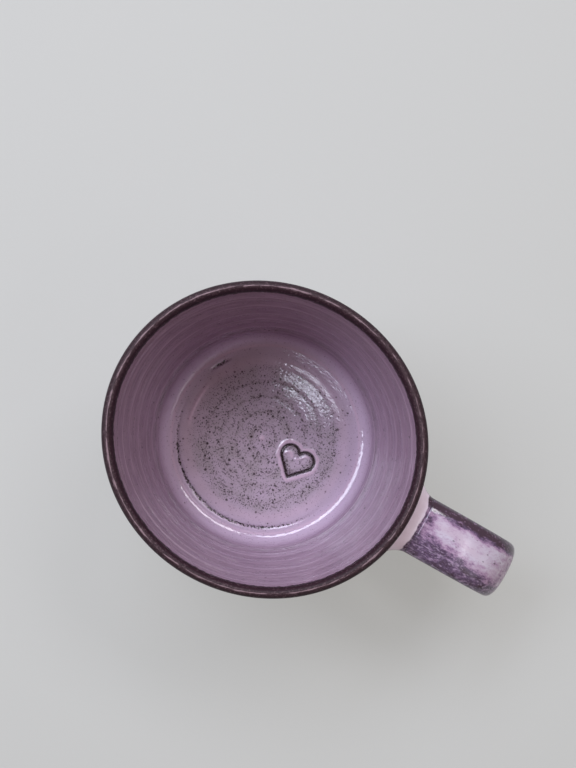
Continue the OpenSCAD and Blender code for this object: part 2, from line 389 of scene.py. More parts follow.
# %% [markdown]
# ### Iron on the floor
# The inside has a glossy mauve glaze, dipped and fired. Where it pools in the middle of the floor it turns
# grey and the iron from the clay gathers in it, as clouds, grains and specks of several sizes. A band low
# on the wall is clotted in the same way.

# %% Iron on the floor
IRON = "2b1f23"
OLIVE_GREY = "6f6468"
POOL_GREY = "a3969f"
POOL_DARK = "776870"
POOL_FROM_R, POOL_FULL_R = 43, 29
CLOT_Z = 22


def iron_on_floor(tree, colour, place, reach, height, relief, grain):
    """Lays the grey pool and its iron on the colour."""
    cloud = add(tree, "ShaderNodeTexNoise", {"Vector": place, "Scale": per_mm(7), "Detail": 3.0})
    band = add(tree, "ShaderNodeMapRange", {
        "Value": off_by(tree, height, CLOT_Z * MM), "From Min": 8 * MM, "From Max": 1 * MM,
    })
    clotted = add(tree, "ShaderNodeMath", {0: band, 1: cloud}, operation="MULTIPLY")
    colour = layer(tree, colour, OLIVE_GREY, clotted, 0.2, 0.6, 0.5)
    inner = add(tree, "ShaderNodeMapRange", {
        "Value": reach, "From Min": POOL_FROM_R * MM, "From Max": POOL_FULL_R * MM,
    }, interpolation_type="SMOOTHSTEP")
    hollow = add(tree, "ShaderNodeMapRange", {
        "Value": relief, "From Min": 0.015, "From Max": -0.015, "To Min": 0.82, "To Max": 1.0,
    })
    pooled = add(tree, "ShaderNodeMath", {0: inner, 1: hollow}, operation="MULTIPLY")
    clouded = add(tree, "ShaderNodeMath", {0: pooled, 1: cloud}, operation="MULTIPLY")
    colour = layer(tree, colour, POOL_GREY, clouded, 0.05, 0.6)
    mottle = add(tree, "ShaderNodeTexNoise", {
        "Vector": place, "Scale": per_mm(1.2), "Detail": 4.0, "Roughness": 0.7,
    })
    sunk = add(tree, "ShaderNodeMath", {0: pooled, 1: mottle}, operation="SUBTRACT")
    colour = layer(tree, colour, POOL_DARK, sunk, 0.46, 0.62, 0.7)
    grained = add(tree, "ShaderNodeMath", {0: pooled, 1: 0.3, 2: grain}, operation="MULTIPLY_ADD")
    colour = layer(tree, colour, IRON, grained, 0.81, 0.97, 0.85)
    some = add(tree, "ShaderNodeMath", {0: clouded, 1: 0.38}, operation="ADD")
    for spacing_mm, largest, density, soft, most in (
        (1.7, 0.52, some, 0.08, 0.85), (1.0, 0.55, some, 0.1, 0.6),
        (1.4, 0.9, clotted, 0.1, 0.7), (4.5, 0.16, 1.0, 0.04, 0.8),
    ):
        speck = specks(tree, place, spacing_mm, largest, density)
        colour = layer(tree, colour, IRON, speck, 0.0, soft, most)
    return colour


# %% [markdown]
# ### Breaks and skin of the liner
# A glaze follows the relief under it. It breaks to pale pink on ridges, and in hollows the iron gathers,
# so that the heart's line and the crease round the floor are almost black. At the top it breaks to the
# dark of the rim along a ragged line. The skin has a fine ripple, and in the well it also waves, so that
# the bright line there isn't drawn with a ruler.

# %% Breaks and skin of the liner
# Pale pink of the glaze's breaks, also used for a painted reflection in the floor's corner
PINK_BREAK_AND_REFLECTION = "ccb1c3"
RIM_DARK = "2f1b24"
RIM_EDGE_Z = (POT_H - RIM_IN) * MM
WAVY_R = 43.5
# Pale rings on the floor: thicker glaze on the shoulder, and round the corner a painted reflection of the
# lit wall. Radius and half width in millimetres, and how strong they are
GLAZE_AND_REFLECTED_RINGS = ((33.5, 3.0, 0.3), (40.3, 0.8, 0.5))


def relief_break(tree, colour, reach, relief, grain):
    """Pale on the ridges and dark in the hollows, with pale rings, the outer one a painted reflection."""
    ragged = add(tree, "ShaderNodeMapRange", {
        "Value": grain, "From Min": 0.3, "From Max": 0.7, "To Min": -0.4, "To Max": 0.4,
    })
    broken = add(tree, "ShaderNodeMath", {0: relief, 1: ragged}, operation="ADD")
    # The ring at 40.3 mm is a painted reflection of the lit wall in the corner's hollow; the shoulder ring
    # is glaze
    for ring_mm, wide_mm, most in GLAZE_AND_REFLECTED_RINGS:
        off_ring = off_by(tree, reach, ring_mm * MM)
        colour = layer(tree, colour, PINK_BREAK_AND_REFLECTION, off_ring, wide_mm * MM, 0.3 * wide_mm * MM, most)
    colour = layer(tree, colour, PINK_BREAK_AND_REFLECTION, relief, 0.05, 0.25, 0.75)
    colour = layer(tree, colour, OLIVE_GREY, broken, -0.25, -0.45, 0.7)
    return layer(tree, colour, IRON, broken, -0.45, -0.62)


def rim_break(tree, colour, place, height):
    """The ragged line where the liner breaks to the dark of the rim."""
    ragged = add(tree, "ShaderNodeTexNoise", {"Vector": place, "Scale": per_mm(1.6), "Detail": 3.0})
    shift = add(tree, "ShaderNodeMapRange", {
        "Value": ragged, "From Min": 0.3, "From Max": 0.7, "To Min": -0.45 * MM, "To Max": 0.45 * MM,
    })
    line = add(tree, "ShaderNodeMath", {0: height, 1: shift}, operation="ADD")
    return layer(tree, colour, RIM_DARK, line, RIM_EDGE_Z - 0.6 * MM, RIM_EDGE_Z)


def liner_skin(tree, place, reach):
    ripple = add(tree, "ShaderNodeTexNoise", {"Vector": place, "Scale": per_mm(1.2), "Detail": 2.0})
    in_well = add(tree, "ShaderNodeMapRange", {
        "Value": off_by(tree, reach, WAVY_R * MM), "From Min": 4.5 * MM, "From Max": 2 * MM, "To Max": 4.0,
    })
    wave = add(tree, "ShaderNodeTexNoise", {"Vector": place, "Scale": per_mm(2.5), "Detail": 1.0})
    return add(tree, "ShaderNodeMath", {0: in_well, 1: wave, 2: ripple}, operation="MULTIPLY_ADD")


# %% [markdown]
# ### Mauve liner glaze
# Together they make the liner: mauve with fine streaks round the wall, paler and bluer where it lies thick
# on the floor. The relief comes from the mesh, where it is kept as a value in millimetres.

# %% Mauve liner glaze
DEEP_MAUVE = "8d7388"
LIGHT_MAUVE = "9f8598"
FLOOR_LILAC = "c6b2c7"
LILAC_FROM_Z, LILAC_FULL_Z = 17, 11


def make_liner_glaze():
    material, tree = new_material("mauve_liner_glaze")
    place, reach, height, way = around_axis(tree)
    relief = add(tree, "ShaderNodeAttribute", attribute_name="relief").outputs["Fac"]
    grain = add(tree, "ShaderNodeTexNoise", {"Vector": place, "Scale": per_mm(0.75), "Detail": 2.0})
    fine = streaks(tree, reach, height, way, 2.2, 5.0)
    colour = layer(tree, DEEP_MAUVE, LIGHT_MAUVE, fine, 0.36, 0.66)
    colour = layer(tree, colour, FLOOR_LILAC, height, LILAC_FROM_Z * MM, LILAC_FULL_Z * MM, 0.85)
    colour = iron_on_floor(tree, colour, place, reach, height, relief, grain)
    colour = relief_break(tree, colour, reach, relief, grain)
    colour = rim_break(tree, colour, place, height)
    finish_material(tree, colour, 0.04, liner_skin(tree, place, reach), 0.032)
    return material


liner_glaze = make_liner_glaze()

# %% [markdown]
# ### Dark rim glaze
# Over the lip the glaze is thin and dry, and the iron in the clay comes through: near-black inside, a
# mottled brown outside, with a grain of dark and pale flecks. Along the very crest, where the lip faces
# up, a thin pale line that breaks off here and there is a painted highlight. Which side is which follows
# from the face's own normal.

# %% Dark rim glaze
RIM_MAROON = "332429"
RIM_BROWN = "402f33"
# Pale flecks in the mottle, and the painted highlight along the crest
PALE_FLECK_AND_CREST_HIGHLIGHT = "8c777c"


def make_rim_glaze():
    material, tree = new_material("iron_rim_glaze")
    place, reach, _, way = around_axis(tree)
    normal = add(tree, "ShaderNodeNewGeometry").outputs["Normal"]
    facing = add(tree, "ShaderNodeVectorMath", {0: normal, 1: way}, operation="DOT_PRODUCT")
    outward = facing.outputs["Value"]
    mottle = add(tree, "ShaderNodeTexNoise", {
        "Vector": place, "Scale": per_mm(0.8), "Detail": 3.0, "Roughness": 0.7,
    })
    side = add(tree, "ShaderNodeMath", {0: outward, 1: mottle}, operation="ADD")
    colour = layer(tree, RIM_DARK, RIM_BROWN, side, -0.1, 0.3)
    colour = layer(tree, colour, RIM_MAROON, side, 0.7, 1.05)
    # Painted highlight: a thin pale line where the lip faces up, broken by fine streaks
    lines = streaks(tree, reach, 0.0, way, 0.75, 8.0)
    crest = add(tree, "ShaderNodeMath", {0: outward}, operation="ABSOLUTE")
    broken = add(tree, "ShaderNodeMath", {0: crest, 1: -0.8, 2: lines}, operation="MULTIPLY_ADD")
    colour = layer(tree, colour, PALE_FLECK_AND_CREST_HIGHLIGHT, mottle, 0.56, 0.7, 0.35)
    colour = layer(tree, colour, IRON, mottle, 0.5, 0.4, 0.85)
    colour = layer(tree, colour, PALE_FLECK_AND_CREST_HIGHLIGHT, broken, 0.42, 0.51, 0.9)
    finish_material(tree, colour, 0.5, mottle, 0.1, 0.15)
    return material


rim_glaze = make_rim_glaze()

# %% [markdown]
# ### Mottled glaze of the outside and the handle
# Outside the same glaze moved in the kiln: milky lilac and pink where it lies thick, violet where it runs
# thinner, dark purple-brown with pale flecks where it ran off an edge. One value, thin, says how far it
# ran, and a grain makes the borders ragged.

# %% Mottled glaze
MILKY_LILAC = "cac4d2"
MILKY_PINK = "c3b0c0"
ORCHID = "a98ba9"
THIN_PURPLE = "63526e"
THIN_DARK = "433440"
FLECK = "a99bb4"


def mottled(tree, place, thin, flecks):
    """Mottled glaze colour, and its grain. thin is 0 where it lies thick and 1 where it ran off."""
    drift = add(tree, "ShaderNodeTexNoise", {
        "Vector": place, "Scale": per_mm(7), "Detail": 4.0, "Distortion": 0.6,
    })
    grain = add(tree, "ShaderNodeTexNoise", {
        "Vector": place, "Scale": per_mm(2.4), "Detail": 6.0, "Roughness": 0.75,
    })
    spread = add(tree, "ShaderNodeMapRange", {"Value": grain, "To Min": -0.75, "To Max": 0.75})
    ragged = add(tree, "ShaderNodeMath", {0: thin, 1: spread}, operation="ADD")
    colour = layer(tree, MILKY_LILAC, MILKY_PINK, drift, 0.42, 0.64, 0.7)
    colour = layer(tree, colour, ORCHID, ragged, 0.1, 0.42)
    colour = layer(tree, colour, THIN_PURPLE, ragged, 0.36, 0.6)
    colour = layer(tree, colour, THIN_DARK, ragged, 0.55, 0.85)
    fine = add(tree, "ShaderNodeTexNoise", {"Vector": place, "Scale": per_mm(0.8), "Detail": 2.0})
    flecked = add(tree, "ShaderNodeMath", {0: fine, 1: flecks}, operation="MULTIPLY")
    colour = layer(tree, colour, FLECK, flecked, 0.33, 0.47, 0.75)
    colour = layer(tree, colour, ORCHID, fine, 0.56, 0.74, 0.5)
    colour = layer(tree, colour, IRON, specks(tree, place, 1.5, 0.35), 0.0, 0.1, 0.6)
    return colour, grain


# %% [markdown]
# ### Mottled outer glaze
# Down the wall the glaze thins towards its lower edge, so how thin it is follows from the height alone.


# %% Mottled outer glaze
def wall_thin(tree, height):
    """How far the glaze ran down the outside, from the height."""
    low = add(tree, "ShaderNodeMapRange", {
        "Value": height, "From Min": (GLAZE_STOP + 1) * MM, "From Max": 26 * MM,
        "To Min": 0.8, "To Max": 0.3,
    })
    high = add(tree, "ShaderNodeMapRange", {
        "Value": height, "From Min": 48 * MM, "From Max": 74 * MM, "To Min": 0.0, "To Max": -0.25,
    })
    return add(tree, "ShaderNodeMath", {0: low, 1: high}, operation="ADD")


def make_outer_glaze():
    material, tree = new_material("mottled_outer_glaze")
    place, _, height, _ = around_axis(tree)
    colour, grain = mottled(tree, place, wall_thin(tree, height), 0.5)
    finish_material(tree, colour, 0.1, grain, 0.08)
    return material


outer_glaze = make_outer_glaze()

# %% [markdown]
# ### Mottled handle glaze
# On the strap it ran off both edges and thins again beyond the bend, and it is darker over the first
# millimetres off the wall. The mottle is drawn out along the strap, because the glaze flowed that way.


# %% Mottled handle glaze
def strap_thin(tree, place, along):
    """How far the glaze ran off the strap, and a darker stretch at the root, from the place and the way
    along the strap.
    """
    across = add(tree, "ShaderNodeSeparateXYZ", {0: place}).outputs["Y"]
    slant = add(tree, "ShaderNodeMath", {0: along, 1: 0.14, 2: across}, operation="MULTIPLY_ADD")
    one_side = add(tree, "ShaderNodeMapRange", {
        "Value": across, "From Min": 5.4 * MM, "From Max": 8.8 * MM, "To Min": 0.08, "To Max": 0.95,
    })
    other_side = add(tree, "ShaderNodeMapRange", {
        "Value": slant, "From Min": 4.5 * MM, "From Max": -3 * MM, "To Max": 0.66,
    })
    # Darker over the first millimetres of the strap, next to the wall
    root = add(tree, "ShaderNodeMapRange", {
        "Value": along, "From Min": 9 * MM, "From Max": 2 * MM, "To Max": 0.5,
    })
    end = add(tree, "ShaderNodeMapRange", {
        "Value": along, "From Min": 26 * MM, "From Max": 40 * MM, "To Max": 0.4,
    })
    edges = add(tree, "ShaderNodeMath", {0: one_side, 1: other_side}, operation="MAXIMUM")
    ends = add(tree, "ShaderNodeMath", {0: root, 1: end}, operation="MAXIMUM")
    return add(tree, "ShaderNodeMath", {0: edges, 1: ends}, operation="MAXIMUM"), other_side


def make_handle_glaze():
    material, tree = new_material("mottled_handle_glaze")
    place = add(tree, "ShaderNodeTexCoord").outputs["Object"]
    along = add(tree, "ShaderNodeAttribute", attribute_name="along").outputs["Fac"]
    drawn = add(tree, "ShaderNodeVectorMath", {0: place, 1: (0.5, 1.0, 0.7)}, operation="MULTIPLY")
    colour, grain = mottled(tree, drawn, *strap_thin(tree, place, along))
    finish_material(tree, colour, 0.05, grain, 0.05, 0.65)
    return material


handle_glaze = make_handle_glaze()

# %% [markdown]
# ### Pale joint glaze
# In the hollow of the joints the glaze gathers thick and comes out an even pink, painted paler, near
# white, to stand in for light that the shaded hollow doesn't get: painted light. The wall's mottled glaze
# creeps into it from one side, and on the strap it ends along a ragged line, where the dark of the handle
# begins.

# %% Pale joint glaze
# Pink glaze, painted close to white to stand in for light that the shaded hollow doesn't get
JOINT_PINK_PAINTED_LIGHT = "f5e9f8"
JOINT_END = 8.0
LOW_Z, HIGH_Z = 20, 70
WALL_SLOPE = (float(outer_r(HIGH_Z)) - float(outer_r(LOW_Z))) / (HIGH_Z - LOW_Z)


def make_joint_glaze():
    material, tree = new_material("pink_joint_glaze")
    place, reach, height, _ = around_axis(tree)
    off_wall = add(tree, "ShaderNodeMath", {0: height, 1: -WALL_SLOPE, 2: reach}, operation="MULTIPLY_ADD")
    cloud = add(tree, "ShaderNodeTexNoise", {"Vector": place, "Scale": per_mm(3.5), "Detail": 4.0})
    grain = add(tree, "ShaderNodeTexNoise", {"Vector": place, "Scale": per_mm(4), "Detail": 2.0})
    colour = layer(tree, JOINT_PINK_PAINTED_LIGHT, MILKY_PINK, cloud, 0.4, 0.65, 0.15)
    on_wall_side, wall_grain = mottled(tree, place, wall_thin(tree, height), 0.5)
    from_wall = add(tree, "ShaderNodeAttribute", attribute_name="from_wall").outputs["Fac"]
    crept = add(tree, "ShaderNodeMath", {0: wall_grain, 1: 0.6, 2: from_wall}, operation="MULTIPLY_ADD")
    colour = layer(tree, on_wall_side, colour, crept, 0.36, 0.7)
    shift = add(tree, "ShaderNodeMapRange", {"Value": grain, "To Min": -1.1 * MM, "To Max": 1.1 * MM})
    line = add(tree, "ShaderNodeMath", {0: off_wall, 1: shift}, operation="ADD")
    start = (float(outer_r(LOW_Z)) - LOW_Z * WALL_SLOPE + JOINT_END) * MM
    run_off, _ = mottled(tree, place, *strap_thin(tree, place, 0.0))
    colour = layer(tree, colour, run_off, line, start - 0.2 * MM, start + 0.2 * MM)
    finish_material(tree, colour, 0.1, cloud, 0.1)
    return material


joint_glaze = make_joint_glaze()

# %% [markdown]
# ### Bare stoneware
# The foot is wiped clean of glaze so that the pot doesn't stick in the kiln. Fired stoneware is matt and
# toasted, with grog and iron specks and the fine lines of the turning tool.

# %% Bare stoneware
STONEWARE = "a98a6c"
TOASTED = "8b6a4f"


def make_stoneware():
    material, tree = new_material("bare_stoneware")
    place, reach, height, way = around_axis(tree)
    turning = streaks(tree, reach, height, way, 0.8, 0.7)
    grog = add(tree, "ShaderNodeTexNoise", {"Vector": place, "Scale": per_mm(0.9), "Detail": 4.0})
    cloud = add(tree, "ShaderNodeTexNoise", {"Vector": place, "Scale": per_mm(14), "Detail": 3.0})
    colour = layer(tree, STONEWARE, TOASTED, cloud, 0.35, 0.7)
    colour = layer(tree, colour, IRON, specks(tree, place, 1.8, 0.3), 0.0, 0.1, 0.8)
    skin = add(tree, "ShaderNodeMix", {"Factor": 0.5, "A": turning, "B": grog}, data_type="FLOAT")
    finish_material(tree, colour, 0.85, skin, 0.2, strength=0.5)
    return material


bare_stoneware = make_stoneware()
print("materials:", len(bpy.data.materials))

# %% [markdown]
# ## The thrown pot
# Under the coats is the clay itself. Only its foot shows, but it is the whole pot, closed, as it came
# off the wheel. Its floor is left a little low, because the liner on it carries the relief.

# %% The thrown pot
TURNS = 360
LOW_FLOOR = 1.2
angles = np.linspace(0, 2 * np.pi, TURNS, endpoint=False)


def spun(outline):
    """A ring: an outline that closes on itself, spun."""
    return to_round(angles, outline).reshape(-1, 3), ring_faces(len(outline), TURNS, closed=True)


def capped(rows, poles):
    """Rows that go round the axis, closed on it at the heights of the two poles."""
    points = np.vstack([rows.reshape(-1, 3), [[0, 0, poles[0]], [0, 0, poles[1]]]])
    faces = ring_faces(len(rows), TURNS, closed=False)
    first = len(rows) * TURNS
    top = first - TURNS
    for k in range(TURNS):
        after = (k + 1) % TURNS
        faces.append([first, after, k])
        faces.append([first + 1, top + k, top + after])
    return points, faces


low_floor = floor(1, 2) - [0, LOW_FLOOR]
clay = join(
    foot_ring(), turned_base(0, 90, 6), outer_wall(BASE_H, LIP_Z, 4), lip(15),
    inner_wall(LIP_Z, WELL_Z, 4), well(9)[:-2], low_floor[1:],
)
points, faces = capped(to_round(angles, clay), (RECESS, low_floor[-1, 1]))
clay_mesh = make_mesh("thrown_pot", pulled(points), faces)
make_piece("thrown_pot", clay_mesh, bare_stoneware, "stoneware", "thrown_body")

# %% [markdown]
# ## The heart
# A heart is stamped into the floor while the clay is soft: the stamp's edge presses a line, the clay
# inside it rises from the line like a pillow, and a wavering burr stands round the outside. Each of these
# depends only on how far a point is from the heart's line, so one distance function serves them all.

# %% Distance to the heart's line
HEART_W = 15
HEART_H = 13.4
HEART_LOBE = 3.95
HEART_AT = np.array([16, -2.9])
lobe = np.array([HEART_W / 2 - HEART_LOBE, 0])
tip = np.array([0, HEART_LOBE - HEART_H])
half_tip = math.atan2(lobe[0], -tip[1]) + math.asin(HEART_LOBE / np.linalg.norm(lobe - tip))
side_out = np.array([math.cos(half_tip), -math.sin(half_tip)])
turn_at = lobe + HEART_LOBE * side_out
cleft_angle = math.acos(-lobe[0] / HEART_LOBE)


def heart_distance(x, y):
    """Millimetres from the heart's line, less than 0 inside it."""
    p = np.stack([np.abs(x - HEART_AT[0]), y - HEART_AT[1] + (HEART_LOBE + tip[1]) / 2], axis=-1)
    from_lobe = p - lobe
    reach = np.linalg.norm(from_lobe, axis=-1)
    angle = np.arctan2(from_lobe[..., 1], from_lobe[..., 0])
    on_arc = (angle > -half_tip) & (angle < cleft_angle)
    cleft = np.array([0, HEART_LOBE * math.sin(cleft_angle)])
    arc = np.where(on_arc, np.abs(reach - HEART_LOBE), np.linalg.norm(p - cleft, axis=-1))
    side = tip - turn_at
    share = np.clip(((p - turn_at) @ side) / (side @ side), 0, 1)
    line = np.linalg.norm(p - turn_at - share[..., None] * side, axis=-1)
    below = ((p - turn_at) @ side >= 0) & ((p - turn_at) @ side_out < 0) & (p[..., 1] <= 0)
    inside = (reach < HEART_LOBE) | below
    return np.where(inside, -1, 1) * np.minimum(arc, line)


print(f"heart {HEART_W} x {HEART_H} mm, tip {math.degrees(2 * half_tip):.0f} degrees")

# %% [markdown]
# ### The heart's profile
# The profile says how high the clay stands at each distance from the line: pillow, pressed line and burr.
# A slow wave makes the burr waver. Two small lips, where the glaze ran together, are lines of their own.

# %% The heart's profile
# Distance from the heart's line and height there, in millimetres
HEART_PROFILE = np.array([
    [-3.2, 0.06], [-1.1, -0.1], [-0.35, -0.8], [0.1, -0.85], [0.6, 0.1],
    [0.9, 0.22], [1.6, 0.3], [2.3, 0.03], [2.6, 0.0],
])
# Two lines through points on the floor, in millimetres
GLAZE_LIPS = (
    np.array([[10.2, -1.1], [10.9, -0.1], [11.7, 0.4], [12.7, 0.1], [13.5, -0.9]]),
    np.array([[15.7, -0.95], [17.2, -0.1], [18.0, 0.95], [18.7, 1.85], [20.2, 1.9]]),
)
LIP_H = 0.26
LIP_HALF = 0.85
BURR_WAVER = 0.25


def line_distance(x, y, points):
    """Millimetres from a line through points."""
    p = np.stack([x, y], axis=-1)
    nearest = np.full(np.shape(x), np.inf)
    for a, b in zip(points[:-1], points[1:]):
        share = np.clip(((p - a) @ (b - a)) / ((b - a) @ (b - a)), 0, 1)
        nearest = np.minimum(nearest, np.linalg.norm(p - a - share[..., None] * (b - a), axis=-1))
    return nearest


def heart_relief(x, y):
    d = heart_distance(x, y)
    waver = BURR_WAVER * np.sin(1.1 * x - 0.9 * y) * np.clip(d - 1, 0, 1)
    lips = sum(LIP_H * np.clip(1 - line_distance(x, y, line) / LIP_HALF, 0, 1) for line in GLAZE_LIPS)
    return np.interp(d + waver, *HEART_PROFILE.T) + lips


print(f"line {-HEART_PROFILE[:, 1].min():.2f} mm deep, burr {HEART_PROFILE[:, 1].max():.2f} mm high")

# %% [markdown]
# ## Relief of the inside
# Fingers leave a shallow spiral: rings up the wall and ripples across the floor, with a little nub near
# the middle, a crease where the rib stopped short of the wall, a low shoulder inside it and a short sharp
# ridge on the shoulder. These are real relief, not a picture: one function gives the height of the wall's
# rings and another that of the floor at any point.

# %% Relief of the inside
CREASE_R = 37.7
CREASE_WAY = math.radians(-100)
CREASE_SPAN = math.radians(66)
SHORT_WAY = math.radians(150)
SHORT_SPAN = math.radians(7)
RIDGE_WAY = math.radians(182)
RIDGE_SPAN = math.radians(15)
SHOULDER_R = 33.5
RIPPLE = 6.4
NUB_AT = (-1.6, -0.25)
NUB_R = 1.2
NUB_H = 0.3
SPIRAL_H = 0.01
CREASE_D = 0.65
CREASE_HALF = 0.6
SHOULDER_H = 0.05
SHOULDER_HALF = 2.2
RIDGE_H = 0.46
RIDGE_HALF = 1.1
RIDGE_NICKS = 97
# Rings up the wall: height and pitch in millimetres, turns round the axis and start
WALL_RINGS = ((0.05, 4.2, 1, 0), (0.03, 2.7, -1, 1.3), (0.08, 11, 1, 0.4))


def wall_rings(angle, z):
    wave = sum(
        high * np.cos(2 * np.pi * z / pitch + turns * angle + start)
        for high, pitch, turns, start in WALL_RINGS
    )
    fade = np.clip((POT_H - RIM_IN - z) / 3, 0, 1) * np.clip((z - WELL_Z + 2) / 6, 0, 1)
    return wave * fade


def along_arc(angle, way, span):
    """1 where an angle is near a direction, falling to 0 beyond its span."""
    return np.exp(-(np.angle(np.exp(1j * (angle - way))) / span) ** 4)


def floor_relief(x, y):
    r = np.hypot(x, y)
    angle = np.arctan2(y, x)
    spiral = SPIRAL_H * np.cos(2 * np.pi * r / RIPPLE - angle)
    spiral += SPIRAL_H / 2 * np.cos(2 * np.pi * r / (0.5 * RIPPLE) - angle + 1)
    spiral *= np.clip((SHOULDER_R - r) / 4, 0, 1)
    nub = NUB_H * np.exp(-((x - NUB_AT[0]) ** 2 + (y - NUB_AT[1]) ** 2) / NUB_R ** 2)
    long_crease = along_arc(angle, CREASE_WAY, CREASE_SPAN)
    short_crease = along_arc(angle, SHORT_WAY, SHORT_SPAN)
    crease = -CREASE_D * np.exp(-((r - CREASE_R) / CREASE_HALF) ** 2) * (long_crease + short_crease)
    shoulder = SHOULDER_H * np.exp(-((r - SHOULDER_R) / SHOULDER_HALF) ** 2)
    ridge = RIDGE_H * np.clip(1 - np.abs(r - SHOULDER_R) / RIDGE_HALF, 0, 1)
    ridge *= along_arc(angle, RIDGE_WAY, RIDGE_SPAN)
    ridge *= 0.8 + 0.2 * np.sin(RIDGE_NICKS * angle)
    return spiral + nub + crease + shoulder + ridge + heart_relief(x, y)


print(f"crease {CREASE_D} mm deep, ridge {RIDGE_H} mm high, nub {NUB_H} mm high")

# %% [markdown]
# ## The liner
# The liner is a closed shell: a fine grid on the glazed face, which has to show every ring, and a coarse
# one behind it, which lies on the clay and is never seen. The rings go into the wall here, along the
# face's own normals.

# %% The liner
BACK_LIFT = 0.1
WALL_STEP = 0.75
FLOOR_STEP = 0.36
liner_face = join(inner_wall(POT_H - RIM_IN, WELL_Z, WALL_STEP), well(4), floor(0.5, FLOOR_STEP))
liner_out = normals(liner_face)
liner_back = join(
    inner_wall(POT_H - RIM_IN, WELL_Z, 8), well(15)[:-2], low_floor[1::2] + [0, BACK_LIFT],
)[::-1]
front = to_round(angles, liner_face + GLAZE * liner_out)
ring_height = wall_rings(angles[None, :], liner_face[:, 1:])
front += ring_height[..., None] * to_round(angles, liner_out)
back = to_round(angles, liner_back)
poles = (liner_back[0, 1], FLOOR_Z + FLOOR_RISE + GLAZE)
points, faces = capped(np.concatenate([back, front]), poles)
liner_mesh = make_mesh("liner_glaze", points, faces)
print(f"liner: {len(front)} rings on its face, {len(back)} behind")

# %% [markdown]
# ### Finer round the heart
# The heart's line is about half a millimetre wide, so the faces near it are cut once more before the
# floor is pushed up and down. The same heights stay on the mesh for the glaze to follow.

# %% Finer round the heart, then pushed into relief
HEART_ROOM = 11
grid = bmesh.new()
grid.from_mesh(liner_mesh)
heart_faces = [
    f for f in grid.faces
    if math.hypot(*(np.array(f.calc_center_median()[:2]) / MM - HEART_AT)) < HEART_ROOM
    and f.normal.z > 0.5 and f.calc_center_median().z > (FLOOR_Z + GLAZE / 2) * MM
]
edges = list({e for f in heart_faces for e in f.edges})
bmesh.ops.subdivide_edges(grid, edges=edges, cuts=1, use_grid_fill=True)
grid.to_mesh(liner_mesh)
grid.free()
place = np.empty(3 * len(liner_mesh.vertices))
liner_mesh.vertices.foreach_get("co", place)
place = place.reshape(-1, 3) / MM
r = np.hypot(place[:, 0], place[:, 1])
floor_top = FLOOR_Z + FLOOR_RISE * (1 - (r / FLOOR_R) ** 2)
on_floor = (r < FLOOR_R + 2) & (place[:, 2] > floor_top + GLAZE / 2)
relief = wall_rings(np.arctan2(place[:, 1], place[:, 0]), place[:, 2])
relief[on_floor] = floor_relief(place[on_floor, 0], place[on_floor, 1])
place[on_floor, 2] += relief[on_floor]
place = pulled(place)
liner_mesh.vertices.foreach_set("co", (place * MM).ravel())
keep_value(liner_mesh, "relief", relief)
liner_mesh.update()
make_piece("liner_glaze_coat", liner_mesh, liner_glaze, "liner_glaze", "liner_glaze")
print(f"floor relief from {relief[on_floor].min():.2f} to {relief[on_floor].max():.2f} mm")

# %% [markdown]
# ## Rim and outer coats
# Both are closed rings: the glazed face, and behind it the clay that it lies on. The outer coat ends
# above the foot in a thick rolled edge, because glaze creeps down and stops there.

# %% Rim and outer coats
ROLL_H, ROLL_AT, ROLL_HALF = 0.35, 1.2, 1.1
EDGE_THIN, EDGE_HALF = 0.3, 0.5
rim_face = join(outer_wall(POT_H - RIM_OUT, LIP_Z, 0.5), lip(7.5), inner_wall(LIP_Z, POT_H - RIM_IN, 0.4))
points, faces = spun(np.concatenate([rim_face + GLAZE * normals(rim_face), rim_face[::-1]]))
rim_mesh = make_mesh("rim_glaze", pulled(points), faces)
make_piece("rim_glaze_band", rim_mesh, rim_glaze, "rim_glaze", "rim_glaze")

outer_face = join(turned_base(STOP_ANGLE, 90, 3), outer_wall(BASE_H, POT_H - RIM_OUT, 1.2))
from_edge = np.concatenate([[0], np.cumsum(np.linalg.norm(np.diff(outer_face, axis=0), axis=1))])
roll = ROLL_H * np.exp(-((from_edge - ROLL_AT) / ROLL_HALF) ** 2)
thick = GLAZE + roll - EDGE_THIN * np.exp(-(from_edge / EDGE_HALF) ** 2)
outline = np.concatenate([outer_face + thick[:, None] * normals(outer_face), outer_face[::-1]])
points, faces = spun(outline)
outer_mesh = make_mesh("outer_glaze", pulled(points), faces)
make_piece("outer_glaze_coat", outer_mesh, outer_glaze, "outer_glaze", "outer_glaze")

# %% [markdown]
# ## The pulled handle
# A strap is pulled from a lump of wet clay, bent over and luted on at both ends. Its line is two smooth
# curves that meet where it stands out furthest.

# %% Line of the strap
glaze_high = box_mm("handle_glaze")[1]
upper_low, upper_high = box_mm("upper_joint_coil")
lower_low, lower_high = box_mm("lower_joint_coil")
STRAP_W = 22
STRAP_T = 8
ROOT_T = 10.5
STRAP_SQUARE = 2.6
HANDLE_RISE = 2
COIL_H = 6
COIL_W = 12
COIL_RUN = 10
TOP_RUN, SHOULDER, HEEL, LOW_RUN, BELLY_SHARE = 0.72, 0.8, 0.62, 0.5, 0.56
upper_z = (upper_low[2] + upper_high[2]) / 2
lower_z = (lower_low[2] + lower_high[2]) / 2
belly_z = lower_z + BELLY_SHARE * (upper_z - lower_z)
upper_root = np.array([float(outer_r(upper_z)), upper_z])
lower_root = np.array([float(outer_r(lower_z)), lower_z])
belly = np.array([glaze_high[0] - GLAZE - STRAP_T / 2, belly_z])
upper_line = [
    upper_root, upper_root + [TOP_RUN * (belly[0] - upper_root[0]), HANDLE_RISE],
    belly + [0, SHOULDER * (upper_z - belly_z)], belly,
]
lower_line = [
    belly, belly - [0, HEEL * (belly_z - lower_z)],
    lower_root + [LOW_RUN * (belly[0] - lower_root[0]), -HANDLE_RISE], lower_root,
]


